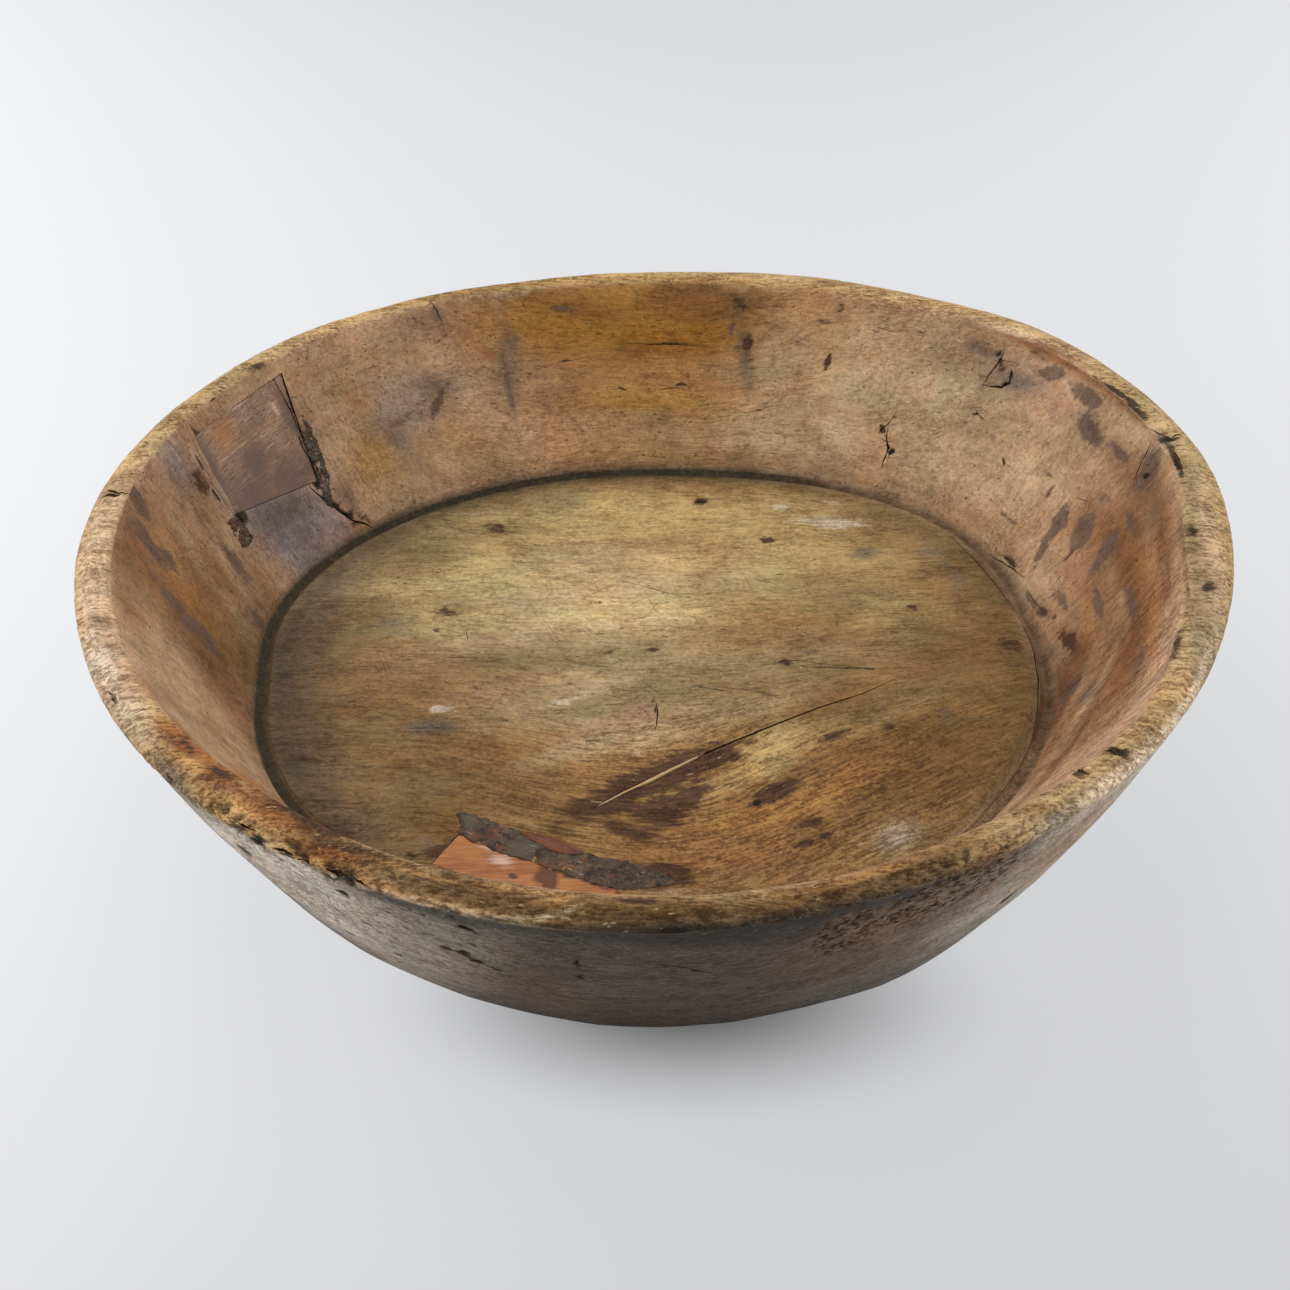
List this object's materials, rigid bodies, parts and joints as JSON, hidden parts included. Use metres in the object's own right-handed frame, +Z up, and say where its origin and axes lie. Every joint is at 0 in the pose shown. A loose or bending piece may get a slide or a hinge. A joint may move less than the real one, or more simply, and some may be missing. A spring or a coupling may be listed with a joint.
{
  "type": "dough bowl",
  "caption": "Wide hewn wooden bowl with a flat floor, splayed walls and a thick worn rim, mended with let-in boards, pitch and a sliver of wood.",
  "frame": {"origin": "middle of the rim's outline, at the height of the flat base", "axes": "+Z up out of the bowl, +X along the grain and the bowl's length, to the right in the picture, and -Y towards its camera"},
  "size_m": [0.5998, 0.5818, 0.1461],
  "materials": {
    "hewn_wood": "hand hewn, oiled and worn",
    "wall_board_wood": "scraped and worn",
    "floor_board_wood": "smooth and lightly polished",
    "splint_wood": "raw split wood",
    "pitch": "dried and crusty"
  },
  "bodies": {
    "root": {"bowl": "hewn_wood", "wall_board": "wall_board_wood", "wall_pitch": "pitch", "floor_board": "floor_board_wood", "floor_slip": "floor_board_wood", "floor_pitch": "pitch", "splint": "splint_wood"}
  },
  "joints": []
}
